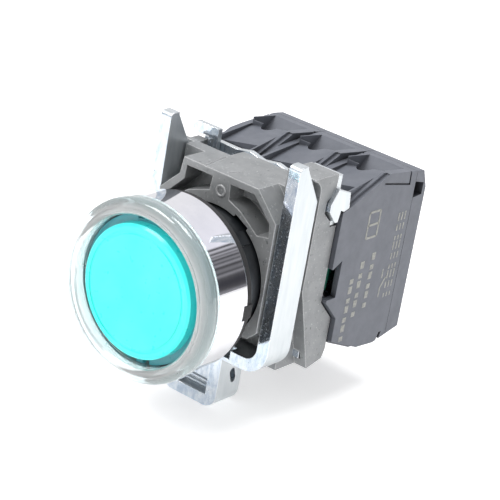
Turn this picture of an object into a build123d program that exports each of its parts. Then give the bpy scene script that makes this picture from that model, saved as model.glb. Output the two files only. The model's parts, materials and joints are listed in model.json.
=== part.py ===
"""Illuminated 22 mm panel push button with its collar, two contact blocks and a lamp module.

Millimetres. The button axis is Y: the lens faces -Y and the wiring side faces +Y. +X is to the right
seen from the front and +Z is up. The origin is on the button axis, at the rear rim of the bezel.
"""

from build123d import *
import os
from math import cos, radians, sin

os.makedirs("parts", exist_ok=True)

REARWARD = (0, 1, 0)
RIGHTWARD = (1, 0, 0)

# Head: radii and depths along the button axis
BEZEL_R = 14.5
BEZEL_WALL = 1.1
BEZEL_FRONT = -7.5
BEZEL_LIP = 1.4
RING_R = 14.95
RING_FRONT = -10.3
RING_BORE_R = 12.25
LENS_R = 10.87
LENS_FRONT = -9.9
LENS_FLANGE_R = 12.1
LENS_FLANGE_FRONT = -7.9
LENS_REAR = -7.1
BARREL_R = 10.95
BARREL_BORE_R = 9.6
BARREL_REAR = 19.2
SHOULDER_FRONT = 2.0
SHOULDER_R = 8.2
CARRIER_R = 8.0
CARRIER_BORE_R = 6.2
CARRIER_REAR = 18.9
CLIP_FRONT = 4.5
GASKET_REAR = 1.2
GASKET_R = 14.25

# Collar: the casting clips onto the barrel behind the panel
COLLAR_FRONT = 7.1
COLLAR_STEP = 12.2
COLLAR_ARM_BACK = 14.2
COLLAR_REAR = 18.4
COLLAR_NECK_X = 11.9
COLLAR_X = 14.4
COLLAR_TOP = 16.7
COLLAR_BOTTOM = -15.0
COLLAR_BORE_R = 11.3
LOCK_RING_FRONT = 17.3
LOCK_RING_THICK = 1.0
LOCK_RING_R = 13.2
PLATE_THICK = 1.0

# Clamp bracket: one bent strip
STRIP = 2.2
ARM_X = 14.4
BRACKET_FRONT = 7.66
BRACKET_REAR = 13.6
ARM_TOP = 22.4
FLOOR_BOTTOM = -13.9
LUG_X = 5.8
LUG_BOTTOM = -23.2
SCREW_Z = -16.8
SCREW_R = 1.95
SCREW_ROOT_R = 1.62
SCREW_HEAD_R = 2.7

# Blocks: three equal modules side by side
BLOCK_PITCH = 10.2
BLOCK_HALF = 5.05
BLOCK_MID_Z = 1.6
BLOCK_FRONT = 20.3
COVER_FRONT = 40.3
BLOCK_REAR = 43.8
POCKET_HALF = 3.9
INNER_HALF = 4.0

# Terminal screws lean 45 degrees: the driver comes from above and behind
LEAN = radians(45)
TERMINAL_Y = 32.45
TERMINAL_Z = 14.55
SCREW_ROOM_R = 2.75
DRIVER_R = 2.3
TERMINAL_SHANK_R = 1.45
BRIDGE_HALF = 5.0


def facing(depth):
    """Plane square to the button axis: its x is X and its y is Z."""
    return Plane(origin=(0, depth, 0), x_dir=(1, 0, 0), z_dir=(0, -1, 0))


def ring(outer, inner, front, rear, mode=Mode.ADD):
    """A tube or disc about the button axis."""
    with BuildSketch(facing(front)) as profile:
        Circle(outer)
        if inner > 0:
            Circle(inner, mode=Mode.SUBTRACT)
    extrude(profile.sketch, amount=rear - front, dir=REARWARD, mode=mode)


def slab(points, front, rear, mode=Mode.ADD):
    """An (x, z) outline carried back along the button axis."""
    with BuildSketch(facing(front)) as profile:
        Polygon(*points, align=None)
    extrude(profile.sketch, amount=rear - front, dir=REARWARD, mode=mode)


def side_slab(points, left, right, mode=Mode.ADD):
    """A (y, z) outline carried across from left to right."""
    with BuildSketch(Plane.YZ.offset(left)) as profile:
        Polygon(*points, align=None)
    extrude(profile.sketch, amount=right - left, dir=RIGHTWARD, mode=mode)


def block(x0, x1, y0, y1, z0, z1, mode=Mode.ADD):
    """A box given by its limits."""
    side_slab([(y0, z0), (y1, z0), (y1, z1), (y0, z1)], x0, x1, mode)


def turned(points):
    """A (radius, y) outline turned about the button axis."""
    with BuildSketch(Plane.XY) as profile:
        Polygon(*points, align=None)
    revolve(profile.sketch, axis=Axis.Y)


def coil(radius, wire, front, length, turns, centre_x=0.0, centre_z=0.0):
    """A round-wire compression spring along the button axis."""
    clear = length - 2 * wire
    first_turn = (centre_x, front + wire, centre_z)
    with BuildLine() as path:
        Helix(pitch=clear / turns, height=clear, radius=radius, center=first_turn, direction=REARWARD)
    with BuildSketch(Plane(origin=path.line @ 0, z_dir=path.line % 0)) as section:
        Circle(wire)
    sweep(section.sketch, path=path.line, is_frenet=True)


def save(part, name):
    """Labels one finished piece and writes it."""
    part.label = name
    export_step(part, f"parts/{name}.step")


# ---------------------------------------------------------------- head

with BuildPart() as chrome_bezel:
    bezel_bore = BEZEL_R - BEZEL_WALL
    turned(
        [
            (bezel_bore, BEZEL_FRONT),
            (BEZEL_R - 0.35, BEZEL_FRONT),
            (BEZEL_R, BEZEL_FRONT + 0.35),
            (BEZEL_R, -0.3),
            (BEZEL_R - 0.3, 0),
            (BARREL_R + 0.15, 0),
            (BARREL_R + 0.15, -BEZEL_LIP),
            (bezel_bore, -BEZEL_LIP),
        ]
    )
    # anti-rotation notch in the rear rim
    block(BEZEL_R - 1.7, BEZEL_R + 1, -1.0, 0.5, -1.3, 1.3, Mode.SUBTRACT)
save(chrome_bezel.part, "chrome_bezel")

with BuildPart() as clear_ring:
    turned(
        [
            (RING_BORE_R, -4.0),
            (BEZEL_R - BEZEL_WALL - 0.1, -4.0),
            (BEZEL_R - BEZEL_WALL - 0.1, BEZEL_FRONT),
            (RING_R, BEZEL_FRONT),
            (RING_R, RING_FRONT),
            (RING_BORE_R, RING_FRONT),
        ]
    )
    front_edges = clear_ring.edges().group_by(Axis.Y)[0]
    fillet(front_edges.sort_by(SortBy.RADIUS)[-1], 1.3)
    front_edges = clear_ring.edges().group_by(Axis.Y)[0]
    fillet(front_edges.sort_by(SortBy.RADIUS)[0], 0.8)
    ring(13.45, 13.3, RING_FRONT - 0.1, RING_FRONT + 0.1, Mode.SUBTRACT)
save(clear_ring.part, "clear_ring")

with BuildPart() as lens_cap:
    turned(
        [
            (0, LENS_FRONT),
            (LENS_R - 0.4, LENS_FRONT),
            (LENS_R, LENS_FRONT + 0.4),
            (LENS_R, LENS_FLANGE_FRONT),
            (LENS_FLANGE_R, LENS_FLANGE_FRONT),
            (LENS_FLANGE_R, LENS_REAR),
            (9.4, LENS_REAR),
            (9.4, -8.6),
            (0, -8.6),
        ]
    )
    # fine circular groove in the face
    ring(9.75, 9.25, LENS_FRONT, LENS_FRONT + 0.14, Mode.SUBTRACT)
    # keying slots in the flange, three at the top and three at the bottom
    with BuildSketch(facing(LENS_FLANGE_FRONT)):
        for middle in (90, 270):
            with PolarLocations(11.75, 3, start_angle=middle - 13, angular_range=26, endpoint=True):
                Rectangle(0.8, 1.3)
    extrude(amount=LENS_REAR - LENS_FLANGE_FRONT, dir=REARWARD, mode=Mode.SUBTRACT)
save(lens_cap.part, "lens_cap")

with BuildPart() as lens_carrier:
    ring(9.2, CARRIER_BORE_R, -8.5, -7.5)
    ring(CARRIER_R, CARRIER_BORE_R, -7.5, CARRIER_REAR)
    ring(CARRIER_R + 1, 7.4, CLIP_FRONT - 0.05, CLIP_FRONT + 0.85, Mode.SUBTRACT)
save(lens_carrier.part, "lens_carrier")

with BuildPart() as retaining_clip:
    ring(9.2, 7.45, CLIP_FRONT, CLIP_FRONT + 0.8)
    block(-1.2, 1.2, CLIP_FRONT - 1, CLIP_FRONT + 2, -10, 0, Mode.SUBTRACT)
save(retaining_clip.part, "retaining_clip")

with BuildPart() as return_spring:
    coil(8.75, 0.32, -7.45, SHOULDER_FRONT + 7.4, 5.5)
save(return_spring.part, "return_spring")

with BuildPart() as head_barrel:
    ring(BEZEL_R - BEZEL_WALL - 0.1, BARREL_BORE_R, -2.6, -BEZEL_LIP)
    ring(BARREL_R, BARREL_BORE_R, -BEZEL_LIP, BARREL_REAR)
    ring(BARREL_BORE_R + 0.1, SHOULDER_R, SHOULDER_FRONT, SHOULDER_FRONT + 0.8)
    # locating lug at the upper right, which the panel hole's notch takes
    with BuildSketch(facing(3.4)):
        with PolarLocations(BARREL_R - 0.2, 1, start_angle=50):
            Rectangle(0.9, 2.4)
    extrude(amount=3.2, dir=REARWARD)
    # bayonet groove, with three entry slots through the rear lip
    groove_front = LOCK_RING_FRONT - 0.15
    ring(BARREL_R + 1, 10.2, groove_front, LOCK_RING_FRONT + LOCK_RING_THICK + 0.15, Mode.SUBTRACT)
    with BuildSketch(facing(groove_front)):
        with PolarLocations(10.8, 3, start_angle=78):
            Rectangle(1.2, 2.9)
    extrude(amount=3, dir=REARWARD, mode=Mode.SUBTRACT)
save(head_barrel.part, "head_barrel")

with BuildPart() as plunger_seal:
    ring(BARREL_BORE_R - 0.02, CARRIER_R + 0.1, SHOULDER_FRONT + 0.8, SHOULDER_FRONT + 2.3)
save(plunger_seal.part, "plunger_seal")

with BuildPart() as panel_gasket:
    ring(GASKET_R, BARREL_R + 0.03, 0, GASKET_REAR)
    fillet(panel_gasket.edges().filter_by(GeomType.CIRCLE).sort_by(SortBy.RADIUS)[-2:], 0.3)
    # anti-rotation tab that keys into the bezel
    block(GASKET_R - 0.6, BEZEL_R - 0.1, -0.9, GASKET_REAR, -1.2, 1.2)
save(panel_gasket.part, "panel_gasket")

# ---------------------------------------------------------------- collar

# fine scored lines in the collar's top face, as (x, y) outlines
LONG_SCORE = [(-3.65, 7.3), (-3.4, 7.3), (-4.35, 13.6), (-4.6, 13.6)]
SHORT_SCORE = [(0.2, 8.2), (0.42, 8.1), (1.6, 11.0), (1.38, 11.1)]

with BuildPart() as collar_body:
    # horseshoe front with one chamfered and one notched shoulder
    slab(
        [
            (-7.9, COLLAR_TOP),
            (7.5, COLLAR_TOP),
            (COLLAR_NECK_X, 12.3),
            (COLLAR_NECK_X, -6.5),
            (10.3, -8.1),
            (-10.3, -8.1),
            (-COLLAR_NECK_X, -6.5),
            (-COLLAR_NECK_X, 10.2),
            (-8.3, 13.8),
        ],
        COLLAR_FRONT,
        COLLAR_STEP,
    )
    # neck between the bracket arms, then the full-width frame
    slab(
        [
            (-COLLAR_NECK_X, COLLAR_TOP),
            (COLLAR_NECK_X, COLLAR_TOP),
            (COLLAR_NECK_X, -8.6),
            (9.4, -11.3),
            (-9.4, -11.3),
            (-COLLAR_NECK_X, -8.6),
        ],
        COLLAR_STEP,
        COLLAR_ARM_BACK,
    )
    block(-COLLAR_X, COLLAR_X, COLLAR_ARM_BACK, COLLAR_REAR, COLLAR_BOTTOM, COLLAR_TOP)
    # raised corner beside the right arm, hollowed for the arm's round shoulder
    block(8.8, COLLAR_X, COLLAR_STEP, COLLAR_REAR - 0.1, 15.0, 19.7)
    block(COLLAR_NECK_X, 16, COLLAR_STEP - 1, COLLAR_ARM_BACK, 14.0, 17.0, Mode.SUBTRACT)
    with BuildSketch(Plane.YZ.offset(COLLAR_NECK_X)):
        with Locations((11.8, 17.0)):
            Circle(2.4)
    extrude(amount=4, dir=RIGHTWARD, mode=Mode.SUBTRACT)
    # rearward skirt that cradles the blocks
    side_slab(
        [
            (COLLAR_REAR - 1, -3.2),
            (20.1, -3.2),
            (23.75, -6.85),
            (23.8, -12.5),
            (23.2, -14.1),
            (19.4, COLLAR_BOTTOM),
            (COLLAR_REAR - 1, COLLAR_BOTTOM),
        ],
        -COLLAR_X,
        COLLAR_X,
    )
    block(-COLLAR_X, COLLAR_X, COLLAR_REAR - 1, 20.1, -3.3, 10.5)
    block(-13.3, 13.3, COLLAR_REAR, 25, -13.6, 12, Mode.SUBTRACT)
    # the flanks below the arms slope back, so that the bracket can rock
    for near, far in ((COLLAR_NECK_X, 16), (-16, -COLLAR_NECK_X)):
        side_slab([(14.1, 0.4), (19.4, -15.1), (14.1, -15.1)], near, far, Mode.SUBTRACT)
    # bore, lock ring seat and lever window
    ring(COLLAR_BORE_R, 0, COLLAR_FRONT - 1, COLLAR_REAR + 1, Mode.SUBTRACT)
    ring(13.45, 0, LOCK_RING_FRONT - 0.1, COLLAR_REAR + 0.1, Mode.SUBTRACT)
    block(-12.4, -5.2, LOCK_RING_FRONT - 0.1, COLLAR_REAR + 0.1, 5, 18, Mode.SUBTRACT)
    block(-12.2, -4.6, 14.8, COLLAR_REAR, 13.6, 18, Mode.SUBTRACT)
    block(-16, -12.2, 15.1, COLLAR_REAR + 1, 16.2, 18, Mode.SUBTRACT)
    # keyway at the bore's upper right
    with BuildSketch(facing(COLLAR_FRONT)):
        with PolarLocations(COLLAR_BORE_R, 1, start_angle=63):
            Rectangle(0.9, 3.2)
    extrude(amount=4, dir=REARWARD, mode=Mode.SUBTRACT)
    # lightening pockets either side of the web
    slab(
        [(-7.1, 15.6), (-1.7, 15.6), (-1.9, 13.2), (-6.2, 11.7), (-9.2, 9.2), (-10.6, 9.6), (-7.2, 13.2)],
        COLLAR_FRONT,
        COLLAR_FRONT + 4.4,
        Mode.SUBTRACT,
    )
    slab(
        [(2.0, 15.5), (7.0, 15.6), (10.7, 12.0), (11.0, 9.7), (8.7, 9.2), (4.8, 11.9), (2.2, 12.9)],
        COLLAR_FRONT,
        COLLAR_FRONT + 4.4,
        Mode.SUBTRACT,
    )
    block(3.0, 6.2, COLLAR_FRONT + 2.6, COLLAR_FRONT + 4.5, 13.4, 14.9)
    # small round moulding mark on the web
    with BuildSketch(facing(COLLAR_FRONT + 0.1)):
        with Locations((0.35, 13.8)):
            Circle(0.95)
            Circle(0.7, mode=Mode.SUBTRACT)
    extrude(amount=0.25, dir=(0, -1, 0))
    for score in (LONG_SCORE, SHORT_SCORE):
        with BuildSketch(Plane.XY.offset(COLLAR_TOP - 0.15)):
            Polygon(*score, align=None)
        extrude(amount=1, mode=Mode.SUBTRACT)
    # seat for the retaining plate's hook
    side_slab(
        [(19.5, 16.8), (18.2, 16.8), (16.3, 15.2), (16.3, 13.2), (18.9, 10.9), (20.6, 10.2), (20.6, 16.8)],
        13.6,
        16,
        Mode.SUBTRACT,
    )
    # threaded lug for the clamp screw
    block(-3.3, 3.3, 14.4, COLLAR_REAR, -19.5, COLLAR_BOTTOM + 0.5)
    with BuildSketch(facing(14.0)):
        with Locations((0, SCREW_Z)):
            Circle(SCREW_R + 0.06)
    extrude(amount=12, dir=REARWARD, mode=Mode.SUBTRACT)
    # channel that the screw's head travels along
    with BuildSketch(facing(COLLAR_REAR + 0.05)):
        with Locations((0, SCREW_Z)):
            Circle(SCREW_HEAD_R + 0.2)
    extrude(amount=8, dir=REARWARD, mode=Mode.SUBTRACT)
save(collar_body.part, "collar_body")

with BuildPart() as locking_lever:
    lever_rear = LOCK_RING_FRONT + LOCK_RING_THICK
    ring(LOCK_RING_R, BARREL_R + 0.1, LOCK_RING_FRONT, lever_rear)
    # three teeth reach into the barrel's groove
    with BuildSketch(facing(LOCK_RING_FRONT)):
        with PolarLocations(10.85, 3, start_angle=90):
            Rectangle(1.0, 1.9)
    extrude(amount=LOCK_RING_THICK, dir=REARWARD)
    # post and thumb tab
    with BuildSketch(facing(LOCK_RING_FRONT)):
        Polygon((-11.5, 5.5), (-9.6, 7.0), (-9.6, 19.0), (-11.5, 19.0), align=None)
        Polygon((-14.2, 17.2), (-11.0, 17.2), (-11.0, 19.0), (-14.2, 19.0), align=None)
        with Locations((-14.2, 18.1)):
            Circle(0.9)
    extrude(amount=LOCK_RING_THICK, dir=REARWARD)
save(locking_lever.part, "locking_lever")

with BuildPart() as retaining_plate:
    plate_rear = COLLAR_REAR + PLATE_THICK
    slab(
        [
            (-13.1, -13.4),
            (13.1, -13.4),
            (13.1, 10.8),
            (COLLAR_X, 10.8),
            (COLLAR_X, 19.4),
            (8.8, 19.4),
            (7.6, 16.9),
            (4.6, 16.5),
            (2.2, 17.0),
            (-0.8, 16.5),
            (-3.4, 17.1),
            (-6.0, 16.6),
            (-13.1, 16.6),
        ],
        COLLAR_REAR,
        plate_rear,
    )
    ring(BARREL_R + 0.25, 0, COLLAR_REAR - 1, plate_rear + 1, Mode.SUBTRACT)
    # hook folded along the right edge
    side_slab(
        [
            (18.2, 17.3),
            (21.4, 16.2),
            (21.8, 13.4),
            (20.5, 13.0),
            (19.6, 13.4),
            (19.2, 11.5),
            (18.5, 11.5),
            (16.6, 13.6),
            (16.6, 15.0),
        ],
        14.0,
        15.2,
    )
    block(13.9, 14.65, BLOCK_FRONT - 0.1, 23, 12, 18, Mode.SUBTRACT)
save(retaining_plate.part, "retaining_plate")

with BuildPart() as clamp_bracket:
    inner_x = ARM_X - STRIP
    floor_top = FLOOR_BOTTOM + STRIP
    bend = 4.5
    with BuildSketch(facing(BRACKET_FRONT)):
        with BuildLine():
            right_arm = Polyline((inner_x, FLOOR_BOTTOM + bend), (inner_x, ARM_TOP), (ARM_X, ARM_TOP))
            Line((ARM_X, ARM_TOP), (ARM_X, FLOOR_BOTTOM + bend))
            RadiusArc((ARM_X, FLOOR_BOTTOM + bend), (ARM_X - bend, FLOOR_BOTTOM), bend)
            Line((ARM_X - bend, FLOOR_BOTTOM), (LUG_X, FLOOR_BOTTOM))
            Line((LUG_X, FLOOR_BOTTOM), (LUG_X, LUG_BOTTOM + 2.5))
            RadiusArc((LUG_X, LUG_BOTTOM + 2.5), (LUG_X - 2.5, LUG_BOTTOM), 2.5)
            Line((LUG_X - 2.5, LUG_BOTTOM), (0, LUG_BOTTOM))
            Line((0, LUG_BOTTOM), (0, LUG_BOTTOM + STRIP - 0.2))
            Line((0, LUG_BOTTOM + STRIP - 0.2), (LUG_X - STRIP, LUG_BOTTOM + STRIP - 0.2))
            Line((LUG_X - STRIP, LUG_BOTTOM + STRIP - 0.2), (LUG_X - STRIP, floor_top - 1.2))
            RadiusArc((LUG_X - STRIP, floor_top - 1.2), (LUG_X - STRIP + 1.2, floor_top), 1.2)
            Line((LUG_X - STRIP + 1.2, floor_top), (inner_x - bend + STRIP, floor_top))
            RadiusArc(
                (inner_x - bend + STRIP, floor_top), (inner_x, FLOOR_BOTTOM + bend), -(bend - STRIP)
            )
        make_face()
        mirror(about=Plane.YZ)
    extrude(amount=BRACKET_REAR - BRACKET_FRONT, dir=REARWARD)
    # the arms taper towards their tips, and their ends are rounded
    side_slab([(BRACKET_REAR, 15.85), (9.7, 22.0), (9.7, 24), (15, 24), (15, 15.85)], -16, 16, Mode.SUBTRACT)
    tips = clamp_bracket.edges().filter_by(Axis.X).filter_by_position(Axis.Z, 21.5, 23)
    fillet(tips.group_by(Axis.Y)[0], 0.8)
    # relief notches beside the lug's bends
    for side in (-1, 1):
        block(*sorted((side * 5.9, side * 7.2)), BRACKET_FRONT - 1, 9.4, -13.2, -11, Mode.SUBTRACT)
    # oblong holes through the lug's cheeks
    with BuildSketch(Plane.YZ.offset(-8)):
        with Locations(Location((11.35, -17.7), -70)):
            SlotOverall(2.8, 1.3)
    extrude(amount=16, dir=RIGHTWARD, mode=Mode.SUBTRACT)
save(clamp_bracket.part, "clamp_bracket")

with BuildPart() as pressure_block:
    cheek = LUG_X - STRIP - 0.05
    block(-cheek, cheek, 8.6, 13.4, -18.9, -14.4)
    block(-cheek, cheek, 9.6, 13.4, LUG_BOTTOM + STRIP - 0.2, -18.8)
    for step in (0, 1):
        rib_top = -19.4 - 0.9 * step
        block(-cheek, cheek, 8.9, 9.7, rib_top - 0.35, rib_top)
    # blind seat for the screw's tip
    with BuildSketch(facing(10.4)):
        with Locations((0, SCREW_Z)):
            Circle(SCREW_R + 0.06)
    extrude(amount=4, dir=REARWARD, mode=Mode.SUBTRACT)
save(pressure_block.part, "pressure_block")

with BuildPart() as clamp_screw:
    with BuildSketch(facing(10.45)):
        with Locations((0, SCREW_Z)):
            Circle(SCREW_ROOT_R)
    extrude(amount=24.4 - 10.45, dir=REARWARD)
    with BuildSketch(facing(24.4)):
        with Locations((0, SCREW_Z)):
            Circle(SCREW_HEAD_R)
    extrude(amount=2.1, dir=REARWARD)
    fillet(clamp_screw.edges().group_by(Axis.Y)[-1], 0.6)
    with BuildSketch(facing(25.4)):
        with Locations((0, SCREW_Z)):
            Rectangle(3.2, 0.75)
            Rectangle(0.75, 3.2)
    extrude(amount=3, dir=REARWARD, mode=Mode.SUBTRACT)
save(clamp_screw.part, "clamp_screw")

# ---------------------------------------------------------------- blocks

BLOCK_PROFILE = [
    (BLOCK_FRONT, 17.4),
    (30.5, 17.6),
    (42.3, 16.15),
    (43.7, 13.0),
    (BLOCK_REAR, -12.95),
    (36.75, -14.4),
    (30.5, -13.9),
    (24.1, -11.4),
    (24.0, -6.7),
    (BLOCK_FRONT, -3.0),
]
LOWER_WIRE_RAMP = [(19.0, -5.05), (33.0, -13.8), (33.0, -15.8), (19.0, -15.8)]
WIRE_WELL = [(19.0, 19.0), (19.0, 10.2), (26.0, 10.2), (27.5, 12.0), (24.8, 14.4), (24.8, 19.0)]
DRIVER_FUNNEL = [(32.2, 19.0), (32.2, 16.9), (33.8, 13.0), (38.7, 16.95), (38.7, 19.0)]
SIDE_LEDGE = [(19.0, 13.0), (21.8, 13.3), (31.8, 17.5), (31.8, 19.0), (19.0, 19.0)]
SIDE_SLIT = [(19.0, 12.5), (21.8, 13.3), (31.8, 17.2), (31.8, 17.8), (21.8, 14.0), (19.0, 13.2)]
RIGHT_WALL_TOP = [(19.0, 13.2), (21.8, 14.0), (31.8, 17.8), (31.8, 19.0), (19.0, 19.0)]
LEFT_WALL_TOP = [(19.0, 14.9), (31.0, 16.1), (38.0, 16.45), (41.0, 16.45), (41.0, 19.0), (19.0, 19.0)]

# The upper ramp rises to the rear and falls to the left
RAMP_RISE = 0.19
RAMP_TILT = 0.20
RAMP_REAR = 32.2
RAMP_TOP = 17.4


def flipped(points):
    """A (y, z) outline mirrored about the block's mid height."""
    return [(y, 2 * BLOCK_MID_Z - z) for y, z in points]


def lean(up, along, centre):
    """Plane square to a terminal screw, at a distance along its axis. up is 1 at the top, -1 below."""
    y = TERMINAL_Y + along * sin(LEAN)
    z = TERMINAL_Z + along * cos(LEAN)
    if up < 0:
        z = 2 * BLOCK_MID_Z - z
    return Plane(origin=(centre, y, z), x_dir=(1, 0, 0), z_dir=(0, sin(LEAN), up * cos(LEAN)))


def leaning_box(up, centre, width, height, start, end, mode=Mode.ADD):
    """A box square to a terminal screw."""
    with BuildSketch(lean(up, start, centre)) as profile:
        Rectangle(width, height)
    extrude(profile.sketch, amount=end - start, mode=mode)


def leaning_rod(up, centre, radius, start, end, mode=Mode.ADD):
    """A cylinder on a terminal screw's axis."""
    with BuildSketch(lean(up, start, centre)) as profile:
        Circle(radius)
    extrude(profile.sketch, amount=end - start, mode=mode)


def upper_ramp(centre):
    """Cuts the sloping top of the upper ramp, whose right rear corner is its highest point."""
    front = BLOCK_FRONT - 1
    right_z = RAMP_TOP - RAMP_RISE * (RAMP_REAR - front)
    left_z = right_z - RAMP_TILT * 2 * POCKET_HALF
    left_x = centre - POCKET_HALF
    right_x = centre + POCKET_HALF
    with BuildSketch(facing(front)) as profile:
        Polygon((left_x, left_z), (right_x, right_z), (right_x, 20), (left_x, 20), align=None)
    length = (RAMP_REAR - front) * (1 + RAMP_RISE**2) ** 0.5
    extrude(profile.sketch, amount=length, dir=(0, 1, RAMP_RISE), mode=Mode.SUBTRACT)


def block_casing(centre):
    """Outer casing with its wire ramps, driver funnels and terminal chambers, open at the rear."""
    side_slab(BLOCK_PROFILE, centre - BLOCK_HALF, centre + BLOCK_HALF)
    block(centre - 6, centre + 6, COVER_FRONT - 0.1, 50, -20, 20, Mode.SUBTRACT)
    upper_ramp(centre)
    side_slab(WIRE_WELL, centre - 3.4, centre + 3.4, Mode.SUBTRACT)
    side_slab(LOWER_WIRE_RAMP, centre - POCKET_HALF, centre + POCKET_HALF, Mode.SUBTRACT)
    side_slab(LEFT_WALL_TOP, centre - BLOCK_HALF - 1, centre - POCKET_HALF + 0.1, Mode.SUBTRACT)
    for up, shape in ((1, list), (-1, flipped)):
        side_slab(shape(DRIVER_FUNNEL), centre - 3.6, centre + 3.6, Mode.SUBTRACT)
        side_slab(shape(SIDE_LEDGE), centre - BLOCK_HALF - 1, centre - 4.4, Mode.SUBTRACT)
        side_slab(shape(SIDE_SLIT), centre + 4.4, centre + BLOCK_HALF + 1, Mode.SUBTRACT)
        side_slab(
            shape(RIGHT_WALL_TOP), centre + POCKET_HALF - 0.1, centre + BLOCK_HALF + 1, Mode.SUBTRACT
        )
        leaning_box(up, centre, 7.0, 6.8, -8.0, -4.3, Mode.SUBTRACT)
        leaning_rod(up, centre, SCREW_ROOM_R, -4.4, -2.4, Mode.SUBTRACT)
        leaning_rod(up, centre, DRIVER_R, -2.5, 8.0, Mode.SUBTRACT)
        leaning_rod(up, centre, TERMINAL_SHANK_R + 0.25, -10.0, -4.0, Mode.SUBTRACT)


def flank_groove(centre):
    """L-shaped moulding line near the top of both flanks, and a short slanted slot near the bottom."""
    bend = [(30.9, 15.7), (38.7, 14.2), (38.5, 16.9), (38.1, 16.9), (38.25, 14.65), (30.9, 16.05)]
    slot = [(37.5, -14.8), (38.2, -14.8), (38.85, -12.8), (38.1, -12.8)]
    for near in (centre - BLOCK_HALF - 1, centre + BLOCK_HALF - 0.3):
        side_slab(bend, near, near + 1.3, Mode.SUBTRACT)
    for near in (centre - BLOCK_HALF - 1, centre + BLOCK_HALF - 1):
        side_slab(slot, near, near + 2, Mode.SUBTRACT)


def working_space(centre, front):
    """Hollow for the mechanism, reached from the rear."""
    high = 8.4
    low = 2 * BLOCK_MID_Z - high
    slope = max(0.2, 24.0 - front)
    side_slab(
        [(front, high), (41, high), (41, low), (front + slope, low), (front, low + slope)],
        centre - INNER_HALF,
        centre + INNER_HALF,
        Mode.SUBTRACT,
    )


def make_cover(centre, name):
    """Rear cap with a latch window on each flank."""
    with BuildPart() as cover:
        side_slab(BLOCK_PROFILE, centre - BLOCK_HALF, centre + BLOCK_HALF)
        block(centre - 6, centre + 6, 10, COVER_FRONT, -20, 20, Mode.SUBTRACT)
        block(centre - INNER_HALF, centre + INNER_HALF, COVER_FRONT, 42.3, -10.5, 11.0, Mode.SUBTRACT)
        for near in (centre - BLOCK_HALF - 1, centre + 3.0):
            side_slab(
                [(40.3, 11.6), (42.8, 11.8), (42.8, 13.9), (40.3, 14.5)], near, near + 3.05, Mode.SUBTRACT
            )
    save(cover.part, f"{name}_rear_cover")


def make_terminals(centre, name):
    """Captive clamp screw and clamp plate at the top and at the bottom."""
    for up, place in ((1, "upper"), (-1, "lower")):
        with BuildPart() as screw:
            leaning_rod(up, centre, TERMINAL_SHANK_R, -8.2, -4.2)
            leaning_rod(up, centre, 2.5, -4.3, -2.5)
            with BuildSketch(lean(up, -3.3, centre)):
                Rectangle(3.6, 0.7)
                Rectangle(0.7, 3.6)
            extrude(amount=2, mode=Mode.SUBTRACT)
        save(screw.part, f"{name}_{place}_terminal_screw")
        with BuildPart() as clamp:
            leaning_box(up, centre, 6.4, 5.8, -5.3, -4.4)
            leaning_rod(up, centre, TERMINAL_SHANK_R + 0.06, -6, -4, Mode.SUBTRACT)
        save(clamp.part, f"{name}_{place}_clamp_plate")


CONTACT_TAB = [(29.6, 4.5), (30.4, 4.5), (30.4, 7.0), (29.65, 7.75), (29.05, 7.2), (29.6, 6.6)]


def make_fixed_contacts(centre, name):
    """Two brass strips: each runs from its terminal to a contact tip."""
    with BuildPart() as strips:
        for up, shape in ((1, list), (-1, flipped)):
            leaning_box(up, centre, 6.4, 5.6, -7.6, -6.7)
            side_slab(shape(CONTACT_TAB), centre - 1.7, centre + 1.7)
            leaning_rod(up, centre, TERMINAL_SHANK_R + 0.06, -8.5, -6, Mode.SUBTRACT)
    save(strips.part, f"{name}_fixed_contacts")


def make_contact_block(name, side, bridge_front, slot):
    """One contact block. side is 1 on the right and -1 on the left."""
    centre = side * BLOCK_PITCH
    with BuildPart() as housing:
        block_casing(centre)
        flank_groove(centre)
        working_space(centre, BLOCK_FRONT - 0.3)
        ring(CARRIER_R + 0.5, 0, BLOCK_FRONT - 1, 24.2, Mode.SUBTRACT)
        # window beside the plunger
        wall = sorted((centre + side * 3.8, centre + side * 6))
        window = [(19.0, 2.9), (20.6, 2.9), (22.7, 4.0), (22.7, -2.6), (19.0, -2.6)]
        side_slab(window, *wall, Mode.SUBTRACT)
    save(housing.part, f"{name}_housing")
    make_cover(centre, name)
    with BuildPart() as plunger:
        block(*sorted((side * 6.4, side * 8.0)), 19.1, 21.0, -1.8, 1.8)
        block(*sorted((side * 6.4, side * 13.4)), 20.9, 22.2, -1.8, 3.5)
        block(centre - 2.4, centre + 2.4, 22.1, 32.5, BLOCK_MID_Z - 2.4, BLOCK_MID_Z + 2.4)
        block(centre - 1.7, centre + 1.7, *slot, -4, 7, Mode.SUBTRACT)
    save(plunger.part, f"{name}_plunger")
    with BuildPart() as spring:
        coil(1.9, 0.22, 32.55, 9.7, 6, centre, BLOCK_MID_Z)
    save(spring.part, f"{name}_plunger_spring")
    with BuildPart() as bridge:
        low = BLOCK_MID_Z - BRIDGE_HALF
        high = BLOCK_MID_Z + BRIDGE_HALF
        block(centre - 1.5, centre + 1.5, bridge_front, bridge_front + 0.5, low, high)
    save(bridge.part, f"{name}_contact_bridge")
    make_fixed_contacts(centre, name)
    make_terminals(centre, name)


make_contact_block("right", 1, 26.3, (24.3, 27.0))
make_contact_block("left", -1, 30.5, (28.7, 31.2))

with BuildPart() as lamp_housing:
    block_casing(0)
    working_space(0, 25.4)
    ring(CARRIER_R + 0.5, 0, BLOCK_FRONT - 1, 24.2, Mode.SUBTRACT)
    ring(5.7, 3.4, 8.0, 24.2)
    ring(3.4, 0, 8.0, 26.0, Mode.SUBTRACT)
save(lamp_housing.part, "lamp_housing")
make_cover(0, "lamp")

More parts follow.
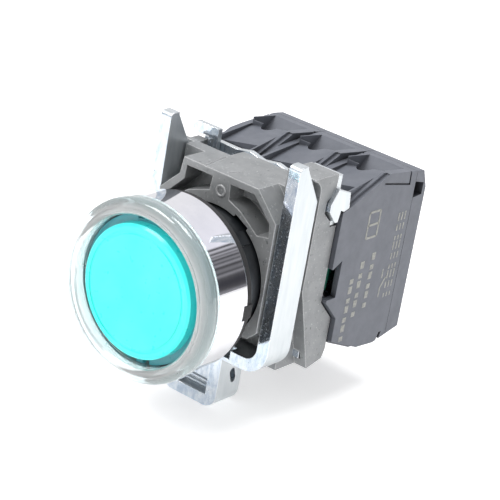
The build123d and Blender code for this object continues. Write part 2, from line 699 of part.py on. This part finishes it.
with BuildPart() as lamp:
    ring(3.2, 0, 9.4, 10.4)
    ring(2.5, 0, 7.0, 9.5)
    with Locations((0, 7.0, 0)):
        Sphere(2.5)
    for side in (-1, 1):
        block(*sorted((side * 1.0, side * 1.5)), 10.3, 27.0, -0.25, 0.25)
save(lamp.part, "lamp")

with BuildPart() as lamp_circuit_board:
    block(-3.7, 3.7, 27.0, 28.2, BLOCK_MID_Z - BRIDGE_HALF, BLOCK_MID_Z + BRIDGE_HALF)
save(lamp_circuit_board.part, "lamp_circuit_board")

with BuildPart() as lamp_resistors:
    for height in (-2.9, 3.0, 4.9):
        block(-2.2, 2.2, 28.2, 29.2, height, height + 1.2)
save(lamp_resistors.part, "lamp_resistors")

make_fixed_contacts(0, "lamp")
make_terminals(0, "lamp")
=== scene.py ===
"""Looks for the illuminated panel push button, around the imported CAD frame. Metres."""

import json
from math import cos, pi, radians, sin

import bpy
from mathutils import Matrix, Vector


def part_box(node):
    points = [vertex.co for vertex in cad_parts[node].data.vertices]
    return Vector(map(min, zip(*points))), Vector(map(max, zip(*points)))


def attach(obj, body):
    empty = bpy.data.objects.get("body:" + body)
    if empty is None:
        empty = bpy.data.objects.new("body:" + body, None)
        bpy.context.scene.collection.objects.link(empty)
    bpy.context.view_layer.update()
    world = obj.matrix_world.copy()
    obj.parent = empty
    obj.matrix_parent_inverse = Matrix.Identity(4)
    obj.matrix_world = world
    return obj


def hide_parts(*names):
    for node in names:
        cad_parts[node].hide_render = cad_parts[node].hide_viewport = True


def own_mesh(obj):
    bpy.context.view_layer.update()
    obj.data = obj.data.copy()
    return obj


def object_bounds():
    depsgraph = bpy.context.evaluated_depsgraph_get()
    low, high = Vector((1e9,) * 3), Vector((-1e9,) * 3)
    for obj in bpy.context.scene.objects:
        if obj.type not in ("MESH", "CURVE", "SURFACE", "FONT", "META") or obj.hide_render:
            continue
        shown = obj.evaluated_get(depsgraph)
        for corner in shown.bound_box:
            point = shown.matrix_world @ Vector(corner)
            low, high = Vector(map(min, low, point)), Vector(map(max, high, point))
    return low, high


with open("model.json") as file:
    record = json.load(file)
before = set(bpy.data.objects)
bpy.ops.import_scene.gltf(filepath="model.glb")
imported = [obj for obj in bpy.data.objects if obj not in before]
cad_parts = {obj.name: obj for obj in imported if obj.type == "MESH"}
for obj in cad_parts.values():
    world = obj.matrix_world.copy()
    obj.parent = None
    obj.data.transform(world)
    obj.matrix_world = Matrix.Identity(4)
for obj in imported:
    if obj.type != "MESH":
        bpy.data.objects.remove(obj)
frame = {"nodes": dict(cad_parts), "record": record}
nodes = frame["nodes"]
cad_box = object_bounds()
MM = 0.001

# ---------------------------------------------------------------- camera

CAMERA_AZIMUTH = radians(35.4)
CAMERA_ELEVATION = radians(22.04)
CAMERA_ROLL = radians(9.95)
CAMERA_DISTANCE = 0.3214
CAMERA_LENS = 146.5
CAMERA_TARGET = Vector((0.0072, 0.0081, 0.0060))


def make_camera():
    """Long-lens camera at three-quarter view, rolled as the object leans."""
    right = Vector((cos(CAMERA_AZIMUTH), sin(CAMERA_AZIMUTH), 0))
    back = Vector(
        (
            sin(CAMERA_AZIMUTH) * cos(CAMERA_ELEVATION),
            -cos(CAMERA_AZIMUTH) * cos(CAMERA_ELEVATION),
            sin(CAMERA_ELEVATION),
        )
    )
    up = back.cross(right)
    turn = Matrix((right, up, back)).transposed() @ Matrix.Rotation(CAMERA_ROLL, 3, "Z")
    data = bpy.data.cameras.new("camera")
    data.sensor_width = 36
    data.lens = CAMERA_LENS
    data.clip_start = 0.01
    data.dof.use_dof = False
    camera = bpy.data.objects.new("camera", data)
    camera.matrix_world = Matrix.Translation(CAMERA_TARGET + back * CAMERA_DISTANCE) @ turn.to_4x4()
    bpy.context.scene.collection.objects.link(camera)
    bpy.context.scene.camera = camera


# ---------------------------------------------------------------- node helpers


class Look:
    """One material's node tree, with short calls for the nodes it uses."""

    def __init__(self, name):
        self.material = bpy.data.materials.new(name)
        self.material.use_nodes = True
        self.tree = self.material.node_tree
        self.shader = self.tree.nodes["Principled BSDF"]
        self.place = self.node("ShaderNodeTexCoord").outputs["Object"]

    def node(self, kind, **settings):
        made = self.tree.nodes.new(kind)
        for key, value in settings.items():
            setattr(made, key, value)
        return made

    def link(self, source, target):
        self.tree.links.new(source, target)

    def fixed(self, **values):
        """Sets the shader's own sockets. Underscores stand for spaces."""
        for key, value in values.items():
            self.shader.inputs[key.replace("_", " ")].default_value = value

    def stretched(self, scale):
        mapping = self.node("ShaderNodeMapping")
        mapping.inputs["Scale"].default_value = scale
        self.link(self.place, mapping.inputs["Vector"])
        return mapping.outputs["Vector"]

    def noise(self, scale, detail=3.0, place=None):
        made = self.node("ShaderNodeTexNoise")
        made.inputs["Scale"].default_value = scale
        made.inputs["Detail"].default_value = detail
        self.link(place or self.place, made.inputs["Vector"])
        return made.outputs["Fac"]

    def ramp(self, value, *stops):
        """Colour stops as (position, colour)."""
        made = self.node("ShaderNodeValToRGB")
        elements = made.color_ramp.elements
        while len(elements) < len(stops):
            elements.new(0.5)
        for element, (position, colour) in zip(elements, stops):
            element.position = position
            element.color = (*colour, 1)
        self.link(value, made.inputs["Fac"])
        return made.outputs["Color"]

    def span(self, value, low, high, start=0.0, end=1.0):
        made = self.node("ShaderNodeMapRange")
        for key, number in (("From Min", start), ("From Max", end), ("To Min", low), ("To Max", high)):
            made.inputs[key].default_value = number
        self.link(value, made.inputs["Value"])
        return made.outputs["Result"]

    def mix(self, factor, first, second):
        made = self.node("ShaderNodeMix", data_type="RGBA")
        self.link(factor, made.inputs[0])
        for socket, colour in ((made.inputs[6], first), (made.inputs[7], second)):
            if isinstance(colour, tuple):
                socket.default_value = (*colour, 1)
            else:
                self.link(colour, socket)
        return made.outputs[2]

    def rounded(self, radius):
        """Normal with its edges softened."""
        made = self.node("ShaderNodeBevel", samples=4)
        made.inputs["Radius"].default_value = radius
        return made.outputs["Normal"]

    def edges(self, radius, strength):
        """1 on sharp edges, 0 on flats."""
        geometry = self.node("ShaderNodeNewGeometry")
        dot = self.node("ShaderNodeVectorMath", operation="DOT_PRODUCT")
        self.link(self.rounded(radius), dot.inputs[0])
        self.link(geometry.outputs["Normal"], dot.inputs[1])
        return self.span(dot.outputs["Value"], 1.0, 0.0, 1 - strength, 1.0)

    def openness(self, reach):
        """1 in the open, falling towards 0 deep in a hollow."""
        made = self.node("ShaderNodeAmbientOcclusion", samples=8)
        made.inputs["Distance"].default_value = reach
        return self.span(made.outputs["AO"], 0.0, 1.0, 0.25, 0.85)

    def facing(self, x, y, z, start, end):
        """1 where the surface faces a direction."""
        geometry = self.node("ShaderNodeNewGeometry")
        dot = self.node("ShaderNodeVectorMath", operation="DOT_PRODUCT")
        self.link(geometry.outputs["True Normal"], dot.inputs[0])
        dot.inputs[1].default_value = (x, y, z)
        return self.span(dot.outputs["Value"], 0.0, 1.0, start, end)

    def from_axis(self):
        """Distance from the button axis."""
        flat = self.stretched((1, 0, 1))
        made = self.node("ShaderNodeVectorMath", operation="LENGTH")
        self.link(flat, made.inputs[0])
        return made.outputs["Value"]

    def rings(self, period):
        """Waves in the distance from the button axis, 0 to 1."""
        angle = self.node("ShaderNodeMath", operation="MULTIPLY")
        angle.inputs[1].default_value = 2 * pi / period
        self.link(self.from_axis(), angle.inputs[0])
        wave = self.node("ShaderNodeMath", operation="SINE")
        self.link(angle.outputs["Value"], wave.inputs[0])
        return self.span(wave.outputs["Value"], 0.0, 1.0, -1.0, 1.0)

    def bump(self, height, strength, distance, radius=0.0):
        made = self.node("ShaderNodeBump")
        made.inputs["Strength"].default_value = strength
        made.inputs["Distance"].default_value = distance
        self.link(height, made.inputs["Height"])
        if radius:
            self.link(self.rounded(radius), made.inputs["Normal"])
        self.link(made.outputs["Normal"], self.shader.inputs["Normal"])

    def colour(self, source):
        self.link(source, self.shader.inputs["Base Color"])

    def roughness(self, source):
        self.link(source, self.shader.inputs["Roughness"])


# ---------------------------------------------------------------- materials


def lens_look():
    look = Look("cyan_lens")
    cloud = look.noise(140, 2)
    tint = look.ramp(cloud, (0.35, (0.02, 0.68, 0.63)), (0.7, (0.04, 0.78, 0.73)))
    # only the disc is lit from behind: the flange round it gets painted shade, a darker teal in both its
    # colour and its glow
    rim = look.span(look.from_axis(), 0.0, 1.0, 10.80 * MM, 10.95 * MM)
    lit = look.mix(rim, tint, (0.03, 0.27, 0.31))
    look.colour(lit)
    look.link(look.mix(rim, tint, (0.01, 0.07, 0.09)), look.shader.inputs["Emission Color"])
    look.roughness(look.span(look.noise(900), 0.24, 0.34))
    # the lens's glow is painted light: emission standing in for the lamp behind it
    look.fixed(Emission_Strength=0.30, Subsurface_Weight=0.35, Coat_Weight=0.25)
    look.shader.inputs["Subsurface Radius"].default_value = (0.002, 0.004, 0.004)
    look.bump(look.noise(2600), 0.05, 0.00002, 0.0002)
    return look.material


def clear_look():
    look = Look("clear_plastic")
    body = look.ramp(look.noise(260), (0.3, (0.94, 0.98, 0.99)), (0.8, (0.99, 1.0, 1.0)))
    # the mould's turning marks, and a greener tint where the wall is thick
    outer = look.span(look.from_axis(), 0.0, 1.0, 13.6 * MM, 14.9 * MM)
    look.colour(look.mix(outer, body, (0.74, 0.90, 0.92)))
    look.roughness(look.span(look.noise(700), 0.02, 0.05))
    look.fixed(Transmission_Weight=0.72, IOR=1.45, Coat_Weight=0.8)
    look.bump(look.rings(0.90 * MM), 0.30, 0.00005)
    return look.material


def chrome_look():
    look = Look("chrome")
    look.colour(look.ramp(look.noise(300), (0.3, (0.80, 0.80, 0.83)), (0.8, (0.90, 0.89, 0.91))))
    look.roughness(look.span(look.noise(1500), 0.02, 0.07))
    look.fixed(Metallic=1.0)
    # polishing marks run round the rim, so they are stretched across the axis
    look.bump(look.noise(1.0, 2, look.stretched((60, 900, 60))), 0.06, 0.00003, 0.0002)
    return look.material


def plastic_look(name, dark, light, rough=0.46):
    """Moulded plastic with spark-eroded texture, a painted highlight on its edges and painted shade in its
    hollows.
    """
    look = Look(name)
    body = look.ramp(look.noise(420, 5), (0.3, dark), (0.75, light))
    edge_highlight = tuple(min(1, c * 1.5) for c in light)
    shaded = tuple(c * 0.22 for c in dark)
    # edges are lightened with a painted highlight
    with_edge_highlight = look.mix(look.edges(0.12 * MM, 0.25), body, edge_highlight)
    # hollows are darkened with painted shade, from an ambient occlusion mask
    look.colour(look.mix(look.openness(4 * MM), shaded, with_edge_highlight))
    look.roughness(look.span(look.noise(1800), rough - 0.06, rough + 0.08))
    look.bump(look.noise(5200, 2), 0.22, 0.00003, 0.00012)
    return look.material


def zamak_look():
    look = Look("zamak")
    blotch = look.ramp(look.noise(330, 7), (0.25, (0.235, 0.245, 0.25)), (0.8, (0.335, 0.342, 0.350)))
    fleck = look.ramp(look.noise(2300, 2), (0.66, (0, 0, 0)), (0.72, (1, 1, 1)))
    flecked = look.mix(fleck, blotch, (0.47, 0.48, 0.49))
    pit = look.ramp(look.noise(1500, 3), (0.28, (1, 1, 1)), (0.34, (0, 0, 0)))
    pitted = look.mix(pit, flecked, (0.16, 0.165, 0.17))
    # the lighter edges are a painted highlight
    look.colour(look.mix(look.edges(0.00025, 0.20), pitted, (0.66, 0.665, 0.675)))
    look.roughness(look.span(look.noise(800), 0.40, 0.60))
    look.fixed(Metallic=0.35)
    look.bump(look.noise(2100, 5), 0.35, 0.00006, 0.0002)
    return look.material


def zinc_look():
    """Bright zinc plate. Sheared edges, which face forwards, are smoother and finely torn; their bluer,
    darker colour is partly their own tone and partly painted reflection. All edges carry a painted highlight.
    """
    look = Look("zinc_steel")
    streaks = look.noise(1.0, 4, look.stretched((900, 900, 160)))
    plate = look.ramp(streaks, (0.3, (0.57, 0.61, 0.63)), (0.75, (0.68, 0.71, 0.725)))
    torn = look.noise(1.0, 3, look.stretched((1500, 1500, 700)))
    # bluer, darker colour for forward faces: partly the sheared steel's own tone, partly painted reflection
    sheared_and_painted_reflection = look.ramp(torn, (0.3, (0.46, 0.54, 0.64)), (0.62, (0.68, 0.73, 0.78)))
    forwards = look.facing(0, -1, 0, 0.75, 0.95)
    # the lighter edges are a painted highlight
    look.colour(look.mix(look.edges(0.0002, 0.25), look.mix(forwards, plate, sheared_and_painted_reflection), (0.86, 0.87, 0.89)))
    # the tear's rough grains catch light from everywhere, so they show as pale flecks
    grains = look.ramp(look.noise(2600, 3), (0.63, (0.06, 0.06, 0.06)), (0.69, (0.7, 0.7, 0.7)))
    look.roughness(look.mix(forwards, look.span(streaks, 0.28, 0.42), grains))
    look.fixed(Metallic=0.92)
    look.bump(torn, 0.12, 0.00004, 0.0002)
    return look.material


def metal_look(name, dark, light, rough):
    look = Look(name)
    look.colour(look.ramp(look.noise(900, 4), (0.3, dark), (0.75, light)))
    look.roughness(look.span(look.noise(1600), rough - 0.06, rough + 0.08))
    look.fixed(Metallic=1.0)
    look.bump(look.noise(2400, 2), 0.12, 0.00003, 0.0001)
    return look.material


def print_look():
    """Pale pad print, slightly broken up."""
    look = Look("pad_print")
    look.colour(look.ramp(look.noise(2400, 4), (0.35, (0.24, 0.245, 0.235)), (0.6, (0.36, 0.36, 0.33))))
    look.fixed(Roughness=0.6)
    return look.material


def make_looks():
    return {
        "cyan_lens": lens_look(),
        "clear_plastic": clear_look(),
        "chrome": chrome_look(),
        "black_plastic": plastic_look("black_plastic", (0.014, 0.016, 0.019), (0.032, 0.036, 0.041), 0.30),
        "white_plastic": plastic_look("white_plastic", (0.66, 0.66, 0.64), (0.80, 0.80, 0.78)),
        "rubber": plastic_look("rubber", (0.012, 0.012, 0.013), (0.024, 0.024, 0.026), 0.7),
        "zamak": zamak_look(),
        "zinc_steel": zinc_look(),
        "spring_steel": metal_look("spring_steel", (0.45, 0.45, 0.47), (0.65, 0.65, 0.67), 0.3),
        "grey_plastic": plastic_look("grey_plastic", (0.115, 0.125, 0.150), (0.150, 0.160, 0.188), 0.5),
        "green_plastic": plastic_look("green_plastic", (0.0, 0.11, 0.07), (0.01, 0.17, 0.11)),
        "red_plastic": plastic_look("red_plastic", (0.36, 0.02, 0.015), (0.48, 0.035, 0.03)),
        "brass": metal_look("brass", (0.60, 0.45, 0.20), (0.78, 0.62, 0.33), 0.3),
        "silver_contact": metal_look("silver_contact", (0.66, 0.65, 0.60), (0.84, 0.82, 0.78), 0.25),
        "lamp_resin": plastic_look("lamp_resin", (0.62, 0.88, 0.86), (0.76, 0.95, 0.93), 0.2),
        "circuit_board": plastic_look("circuit_board", (0.01, 0.13, 0.06), (0.03, 0.20, 0.10), 0.3),
        "print": print_look(),
    }


def dress_nodes(looks):
    """Gives every carried-over CAD node the material of its slot."""
    for part in frame["record"]["subparts"]:
        mesh = nodes[part["node"]].data
        mesh.materials.clear()
        mesh.materials.append(looks[part["material_slot"]])


# ---------------------------------------------------------------- added pieces


def piece(name, points, faces, look, body, smooth=False):
    """A mesh piece that rides on a body."""
    mesh = bpy.data.meshes.new(name)
    mesh.from_pydata([Vector(p) for p in points], [], faces)
    mesh.update()
    mesh.validate()
    for polygon in mesh.polygons:
        polygon.use_smooth = smooth
    mesh.materials.append(look)
    made = bpy.data.objects.new(name, mesh)
    bpy.context.scene.collection.objects.link(made)
    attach(made, body)
    return made


PRINT_THICK = 0.03 * MM

# columns of printed bars, in mm: distance from the rear edge, lowest bar, number of bars
WIDE_BAR_COLUMNS = ((-13.6, -11.6, 7), (-11.3, -7.6, 6), (-8.4, -6.6, 6))
FINE_BAR_COLUMNS = (-3.0, -2.1, -1.2)
FINE_BARS = 9
FINE_BARS_LOW = -6
BAR_PITCH = 1.75
WIDE_BAR = 1.0 * MM
FINE_BAR = 0.352 * MM
SYMBOL_LINE = 0.33 * MM


def flank_slabs(outlines, x, outward):
    """Thin closed slabs on a flank, from (y, z) outlines."""
    points = []
    faces = []
    for outline in outlines:
        first = len(points)
        count = len(outline)
        for depth in (-PRINT_THICK, PRINT_THICK):
            points += [(x + outward * depth, y, z) for y, z in outline]
        faces.append([first + i for i in reversed(range(count))])
        faces.append([first + count + i for i in range(count)])
        for i in range(count):
            j = (i + 1) % count
            faces.append([first + i, first + j, first + count + j, first + count + i])
    return points, faces


def stroke(start, end, width):
    """Outline of a straight printed line."""
    a = Vector(start)
    b = Vector(end)
    side = Vector((-(b - a).y, (b - a).x)).normalized() * width / 2
    return [tuple(p) for p in (a - side, b - side, b + side, a + side)]


def window_strokes(centre, half_width, half_height, width):
    """A printed rectangle with a bar across it."""
    y, z = centre
    left, right = y - half_width, y + half_width
    low, high = z - half_height, z + half_height
    return [
        stroke((left, low), (left, high), width),
        stroke((right, low), (right, high), width),
        stroke((left, low), (right, low), width),
        stroke((left, high), (right, high), width),
        stroke((left, z), (right, z), width),
    ]


def contact_symbol(y, z, size, width):
    """The usual drawing of a make contact: two leads and an open blade."""
    return [
        stroke((y, z + size), (y, z + 0.35 * size), width),
        stroke((y, z - size), (y, z - 0.35 * size), width),
        stroke((y, z - 0.35 * size), (y + 0.45 * size, z + 0.35 * size), width),
    ]


def flank_print(name, x, outward, look):
    """Generic pad print on a block's flank: a rectangle, plain bars and a contact symbol. No lettering."""
    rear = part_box("right_housing")[1].y
    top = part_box("right_housing")[1].z
    marks = window_strokes((rear - 10.4 * MM, top - 8.6 * MM), 1.5 * MM, 2.3 * MM, 0.4 * MM)
    for offset, low, bars in WIDE_BAR_COLUMNS:
        y = rear + offset * MM
        for i in range(bars):
            start = (low + BAR_PITCH * i) * MM
            length = (0.9 + 0.4 * (i % 2)) * MM
            marks.append(stroke((y, start), (y, start + length), WIDE_BAR))
    marks += contact_symbol(rear - 4.6 * MM, -3.0 * MM, 2.6 * MM, SYMBOL_LINE)
    for offset in FINE_BAR_COLUMNS:
        y = rear + offset * MM
        for i in range(FINE_BARS):
            start = (FINE_BARS_LOW + BAR_PITCH * i) * MM
            length = (0.8 + 0.35 * (i % 3)) * MM
            marks.append(stroke((y, start), (y, start + length), FINE_BAR))
    points, faces = flank_slabs(marks, x, outward)
    piece(name, points, faces, look, "base")


THREAD_PITCH = 0.7 * MM
THREAD_ROOT = 1.60 * MM
THREAD_CREST = 1.97 * MM
THREAD_STEPS = 28
THREAD_FADE_STEPS = 20


def thread_ridge(look):
    """Helical ridge on the clamp screw's shank, fading out at both ends."""
    low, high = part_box("clamp_screw")
    centre = Vector(((low.x + high.x) / 2, 0, (low.z + high.z) / 2))
    front = low.y + 0.4 * MM
    turns = (high.y - 2.4 * MM - front) / THREAD_PITCH
    steps = int(turns * THREAD_STEPS)
    buried = THREAD_ROOT - 0.05 * MM
    points = []
    faces = []
    for i in range(steps + 1):
        angle = 2 * pi * turns * i / steps
        y = front + THREAD_PITCH * turns * i / steps
        fade = min(1.0, i / THREAD_FADE_STEPS, (steps - i) / THREAD_FADE_STEPS)
        tip = THREAD_ROOT + (THREAD_CREST - THREAD_ROOT) * fade
        for radius, shift in ((buried, -0.30), (tip, -0.05), (tip, 0.05), (buried, 0.30)):
            x = centre.x + radius * cos(angle)
            z = centre.z + radius * sin(angle)
            points.append((x, y + shift * THREAD_PITCH, z))
    for i in range(steps):
        for k in range(4):
            a = 4 * i + k
            b = 4 * i + (k + 1) % 4
            faces.append((a, b, b + 4, a + 4))
    faces.append((3, 2, 1, 0))
    faces.append(tuple(4 * steps + k for k in range(4)))
    piece("clamp_screw_thread", points, faces, look, "clamp_screw", smooth=True)


COIL_STEPS = 32
COIL_SIDES = 8


def coil_spring(node, wire, turns, look, body):
    """A compression spring coil, drawn in place of its CAD node, that rides on its body."""
    low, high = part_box(node)
    centre = (low + high) / 2
    radius = (high.x - low.x) / 2 - wire
    length = high.y - low.y
    steps = int(COIL_STEPS * turns)
    points = []
    faces = []
    for i in range(steps + 1):
        angle = 2 * pi * turns * i / steps
        y = low.y + wire + (length - 2 * wire) * i / steps
        for k in range(COIL_SIDES):
            around = 2 * pi * k / COIL_SIDES
            reach = radius + wire * cos(around)
            points.append(
                (centre.x + reach * cos(angle), y + wire * sin(around), centre.z + reach * sin(angle))
            )
    for i in range(steps):
        for k in range(COIL_SIDES):
            a = COIL_SIDES * i + k
            b = COIL_SIDES * i + (k + 1) % COIL_SIDES
            faces.append((a, b, b + COIL_SIDES, a + COIL_SIDES))
    faces.append(tuple(reversed(range(COIL_SIDES))))
    faces.append(tuple(COIL_SIDES * steps + k for k in range(COIL_SIDES)))
    made = piece(node + "_coil", points, faces, look, body, smooth=True)
    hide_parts(node)
    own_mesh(made)


# ---------------------------------------------------------------- stage


# the dim patch in the surround, from its edge inwards: cosine of the angle from its centre, grey level
DARK_BANDS = (
    (0.865, 1.0),
    (0.872, 0.20),
    (0.880, 0.06),
    (0.890, 0.75),
    (0.900, 0.30),
    (0.906, 0.05),
    (0.914, 0.50),
    (0.924, 0.12),
    (0.930, 0.40),
    (0.938, 0.05),
    (0.948, 0.32),
    (0.956, 0.08),
    (0.964, 0.38),
    (0.972, 0.05),
    (0.982, 0.25),
    (0.990, 0.05),
    (0.9935, 0.45),
    (0.9965, 0.05),
    (0.9990, 0.40),
)
PATCH_DIRECTION = Vector((0.62, 0.76, 0.12)).normalized()
SOFT_LEVEL = 0.5
CAMERA_LEVEL = 2.0
SURROUND_STRENGTH = 0.92

# name, place, width in metres, power in watts
LIGHTS = (
    ("key", (-0.25, -0.35, 0.55), 0.34, 3.1),
    ("right_fill", (0.6, -0.15, 0.35), 0.70, 0.45),
    ("top", (0.05, 0.25, 0.65), 0.30, 2.0),
)
LIT_POINT = Vector((0, 0.01, 0))
FLOOR_HALF_WIDTH = 1.5


def make_floor():
    """Pale floor just under the lug."""
    floor_z = cad_box[0].z - 0.02 * MM
    half = FLOOR_HALF_WIDTH
    mesh = bpy.data.meshes.new("floor")
    corners = [(-half, -half, floor_z), (half, -half, floor_z), (half, half, floor_z), (-half, half, floor_z)]
    mesh.from_pydata(corners, [], [(0, 1, 2, 3)])
    look = Look("floor")
    look.colour(look.ramp(look.noise(40), (0.3, (0.93, 0.93, 0.935)), (0.8, (0.95, 0.95, 0.95))))
    look.fixed(Roughness=0.7, Emission_Strength=0.47)
    look.shader.inputs["Emission Color"].default_value = (1, 1, 1, 1)
    mesh.materials.append(look.material)
    floor = bpy.data.objects.new("floor", mesh)
    bpy.context.scene.collection.objects.link(floor)


def make_lights():
    """Soft square lights, all turned to the object."""
    for name, place, width, power in LIGHTS:
        data = bpy.data.lights.new(name, "AREA")
        data.shape = "SQUARE"
        data.size = width
        data.energy = power
        light = bpy.data.objects.new(name, data)
        light.location = place
        light.rotation_mode = "QUATERNION"
        light.rotation_quaternion = (LIT_POINT - Vector(place)).to_track_quat("-Z", "Y")
        bpy.context.scene.collection.objects.link(light)


def make_surround():
    """Bright surround with one dim, banded patch for the metal to mirror."""
    world = bpy.data.worlds.new("studio")
    world.use_nodes = True
    bpy.context.scene.world = world
    tree = world.node_tree
    direction = tree.nodes.new("ShaderNodeTexCoord").outputs["Generated"]
    toward = tree.nodes.new("ShaderNodeVectorMath")
    toward.operation = "DOT_PRODUCT"
    toward.inputs[1].default_value = PATCH_DIRECTION
    tree.links.new(direction, toward.inputs[0])
    ramp = tree.nodes.new("ShaderNodeValToRGB")
    bands = ramp.color_ramp
    for position, level in DARK_BANDS:
        stop = bands.elements.new(position)
        stop.color = (level, level, level * 1.08, 1)
    bands.elements[0].color = (1, 1, 1, 1)
    bands.elements[-1].color = (0.05, 0.05, 0.06, 1)
    tree.links.new(toward.outputs["Value"], ramp.inputs["Fac"])
    # reflections see a brighter surround than matt surfaces do, so that hollows stay dark,
    # and where nothing is in the way the camera sees plain white
    path = tree.nodes.new("ShaderNodeLightPath")
    soft = tree.nodes.new("ShaderNodeMix")
    soft.data_type = "RGBA"
    tree.links.new(path.outputs["Is Diffuse Ray"], soft.inputs[0])
    tree.links.new(ramp.outputs["Color"], soft.inputs[6])
    soft.inputs[7].default_value = (SOFT_LEVEL, SOFT_LEVEL, SOFT_LEVEL, 1)
    seen = tree.nodes.new("ShaderNodeMix")
    seen.data_type = "RGBA"
    tree.links.new(path.outputs["Is Camera Ray"], seen.inputs[0])
    tree.links.new(soft.outputs[2], seen.inputs[6])
    seen.inputs[7].default_value = (CAMERA_LEVEL, CAMERA_LEVEL, CAMERA_LEVEL, 1)
    background = tree.nodes["Background"]
    tree.links.new(seen.outputs[2], background.inputs["Color"])
    background.inputs["Strength"].default_value = SURROUND_STRENGTH
    bpy.context.scene.view_settings.view_transform = "Standard"


make_camera()
looks = make_looks()
dress_nodes(looks)
flank_print("right_flank_print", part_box("right_housing")[1].x, 1, looks["print"])
thread_ridge(looks["zinc_steel"])
coil_spring("return_spring", 0.32 * MM, 5.5, looks["spring_steel"], "button")
for side in ("right", "left"):
    coil_spring(f"{side}_plunger_spring", 0.22 * MM, 6, looks["spring_steel"], f"{side}_plunger")
make_floor()
make_lights()
make_surround()
